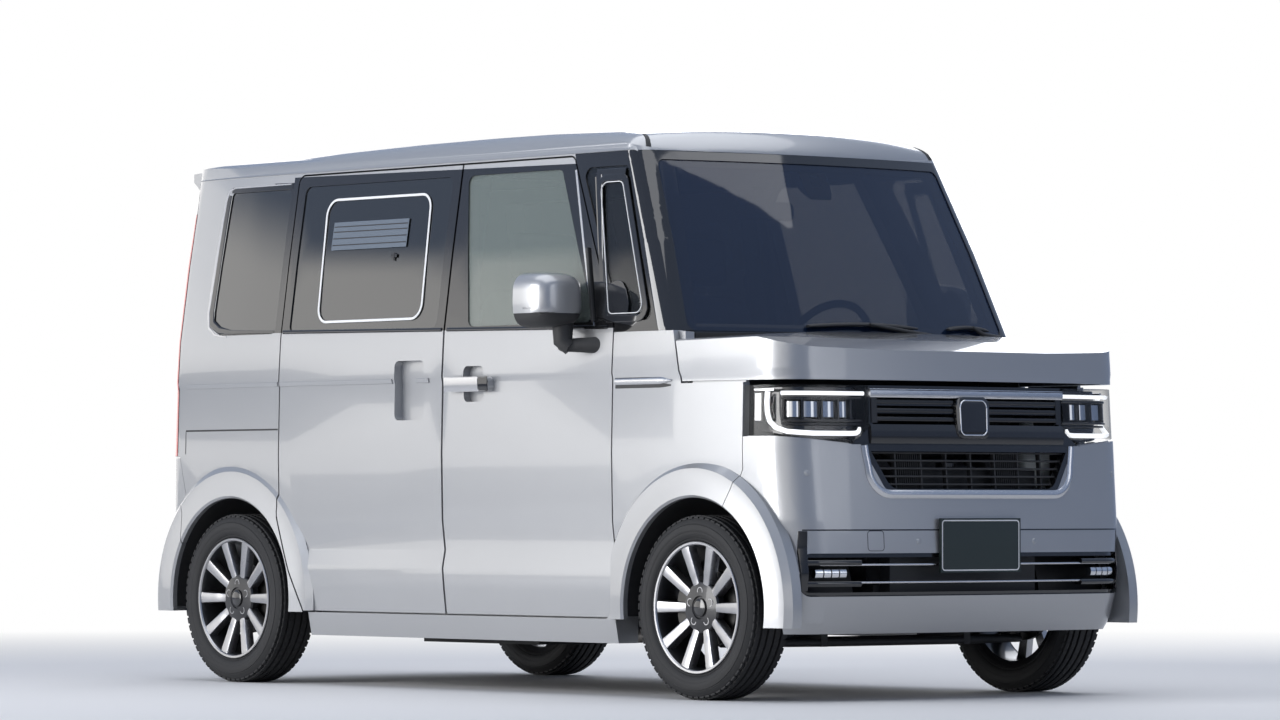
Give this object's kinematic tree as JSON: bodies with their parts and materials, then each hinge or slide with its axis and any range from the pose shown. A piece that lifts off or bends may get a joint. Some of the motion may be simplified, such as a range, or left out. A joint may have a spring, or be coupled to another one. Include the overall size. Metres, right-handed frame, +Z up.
{
  "type": "kei car",
  "caption": "Tall box-shaped kei car with hinged front doors, sliding rear doors, bonnet, tailgate and steered front wheels, on spoked alloy wheels.",
  "frame": {"origin": "on the ground midway between the sides and the two ends of the car", "axes": "+X forwards, +Y to the left side of the car, +Z up"},
  "size_m": [3.395, 1.86, 1.79],
  "materials": {
    "paint": "light warm silver metallic lacquer, clear coat, slightly bluish in shade",
    "black_pillar": "satin black film on pillars and window surrounds",
    "gloss_black": "piano black moulded trim",
    "satin_chrome": "satin plated trim",
    "dark_plastic": "grained black polypropylene",
    "clear_glass": "clear greenish safety glass",
    "privacy_glass": "dark privacy glass",
    "headlamp": "clear moulded lens over bright reflectors",
    "tail_lens": "red moulded lens",
    "tyre": "black road tyre, plain sidewall",
    "alloy": "cast alloy, machined faces over dark pockets",
    "brake_steel": "turned steel and cast knuckle",
    "under_steel": "black chassis paint and primer",
    "exhaust_steel": "aluminised steel pipe",
    "engine_cast": "cast block",
    "cabin_plastic": "dark grained interior moulding",
    "headlining": "pale needle felt lining",
    "seat_cloth": "dark woven cloth",
    "plate_paint": "dark blank plate with a pale border"
  },
  "bodies": {
    "body": {"body_sides": "paint", "cowl": "dark_plastic", "dashboard": "cabin_plastic", "engine_block": "engine_cast", "exhaust": "exhaust_steel", "fenders": "paint", "floor_pan": "under_steel", "front_bumper": "paint", "front_plate": "plate_paint", "front_seats": "seat_cloth", "front_suspension": "under_steel", "fuel_tank": "dark_plastic", "grilles": "gloss_black", "headlamps": "headlamp", "radiator": "under_steel", "rear_axle": "under_steel", "rear_bumper": "paint", "rear_seat": "seat_cloth", "roof_panel": "paint", "screen_surround": "black_pillar", "side_glass": "privacy_glass", "side_sills": "gloss_black", "sliding_doors": "paint", "tail_lamps": "tail_lens", "wheel_housings": "dark_plastic", "windscreen": "clear_glass"},
    "knuckle_left": {"knuckle_left": "brake_steel"},
    "knuckle_right": {"knuckle_right": "brake_steel"},
    "wheel_front_left": {"wheel_front_left": "alloy", "tyre_front_left": "tyre"},
    "wheel_front_right": {"wheel_front_right": "alloy", "tyre_front_right": "tyre"},
    "wheel_rear_left": {"wheel_rear_left": "alloy", "tyre_rear_left": "tyre"},
    "wheel_rear_right": {"wheel_rear_right": "alloy", "tyre_rear_right": "tyre"},
    "front_door_left": {"front_door_left": "paint", "front_door_glass_left": "clear_glass", "mirror_left": "paint"},
    "front_door_right": {"front_door_right": "paint", "front_door_glass_right": "clear_glass", "mirror_right": "paint"},
    "bonnet": {"bonnet": "paint"},
    "tailgate": {"tailgate": "paint", "tailgate_glass": "privacy_glass"},
    "fuel_flap": {"fuel_flap": "paint"},
    "steering_wheel": {"steering_wheel": "cabin_plastic"}
  },
  "joints": [
    {"name": "steer_left", "type": "hinge", "parent": "body", "child": "knuckle_left", "pos_m": [1.2, 0.616, 0.2815], "axis": [0, 0, 1], "range_deg": [-35, 35]},
    {"name": "steer_right", "type": "hinge", "parent": "body", "child": "knuckle_right", "pos_m": [1.2, -0.616, 0.2815], "axis": [0, 0, 1], "range_deg": [-35, 35]},
    {"name": "spin_front_left", "type": "hinge", "parent": "knuckle_left", "child": "wheel_front_left", "pos_m": [1.2, 0.648, 0.2815], "axis": [0, 1, 0], "continuous": true},
    {"name": "spin_front_right", "type": "hinge", "parent": "knuckle_right", "child": "wheel_front_right", "pos_m": [1.2, -0.648, 0.2815], "axis": [0, 1, 0], "continuous": true},
    {"name": "spin_rear_left", "type": "hinge", "parent": "body", "child": "wheel_rear_left", "pos_m": [-1.22, 0.648, 0.2815], "axis": [0, 1, 0], "continuous": true},
    {"name": "spin_rear_right", "type": "hinge", "parent": "body", "child": "wheel_rear_right", "pos_m": [-1.22, -0.648, 0.2815], "axis": [0, 1, 0], "continuous": true},
    {"name": "steering_wheel_turn", "type": "hinge", "parent": "body", "child": "steering_wheel", "pos_m": [0.6, 0.32, 1.084], "axis": [-0.8829, 0, 0.4695], "range_deg": [-540, 540]},
    {"name": "front_door_left_swing", "type": "hinge", "parent": "body", "child": "front_door_left", "pos_m": [0.785, 0.719, 1.002], "axis": [0, 0.0349, -0.9994], "range_deg": [0, 70]},
    {"name": "front_door_right_swing", "type": "hinge", "parent": "body", "child": "front_door_right", "pos_m": [0.785, -0.719, 1.002], "axis": [0, 0.0349, 0.9994], "range_deg": [0, 70]},
    {"name": "bonnet_lift", "type": "hinge", "parent": "body", "child": "bonnet", "pos_m": [1.096, 0, 1.13], "axis": [0, -1, 0], "range_deg": [0, 50]},
    {"name": "tailgate_lift", "type": "hinge", "parent": "body", "child": "tailgate", "pos_m": [-1.625, 0, 1.735], "axis": [0, 1, 0], "range_deg": [0, 85]},
    {"name": "fuel_flap_swing", "type": "hinge", "parent": "body", "child": "fuel_flap", "pos_m": [-1.09, 0.7215, 0.916], "axis": [0, 0, -1], "range_deg": [0, 90]}
  ],
  "couplings": [
    {"joint": "steer_right", "follows": "steer_left", "ratio": 1},
    {"joint": "steering_wheel_turn", "follows": "steer_left", "ratio": 15}
  ]
}
